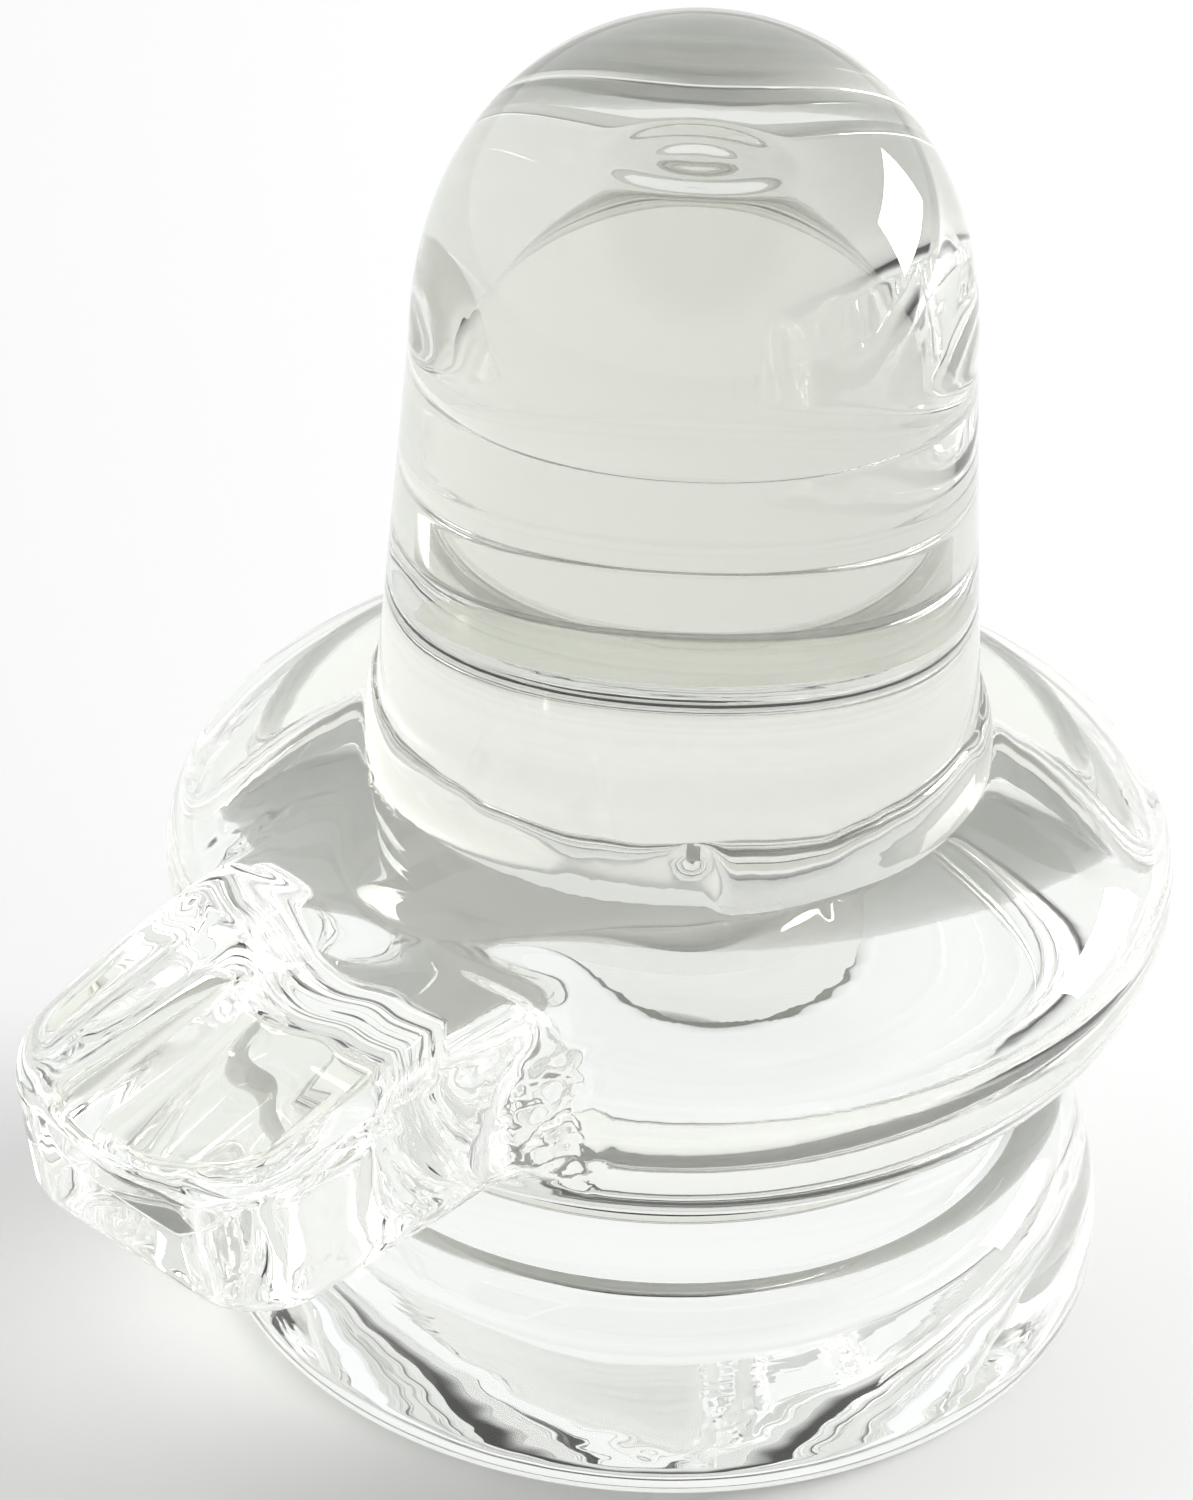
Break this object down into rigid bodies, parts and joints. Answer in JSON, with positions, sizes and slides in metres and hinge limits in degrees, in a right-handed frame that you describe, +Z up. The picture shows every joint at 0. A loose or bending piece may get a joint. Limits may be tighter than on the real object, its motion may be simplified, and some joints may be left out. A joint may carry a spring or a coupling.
{
  "type": "glass shivling",
  "caption": "Clear glass shivling: a solid domed pillar bonded on a round plate with a channelled pouring spout, standing on a short round foot.",
  "frame": {"origin": "centre of the foot's flat resting face", "axes": "+Z up along the pillar's axis, -Y the way the spout points, X across"},
  "size_m": [0.037, 0.0499, 0.0503],
  "materials": {
    "pillar_glass": "fire polished",
    "plate_glass": "fire polished",
    "foot_glass": "fire polished, flat resting face",
    "cement": "clear cured adhesive, glossy"
  },
  "bodies": {
    "root": {"lingam": "pillar_glass", "yoni_plate": "plate_glass", "foot": "foot_glass", "upper_cement": "cement", "lower_cement": "cement"}
  },
  "joints": []
}
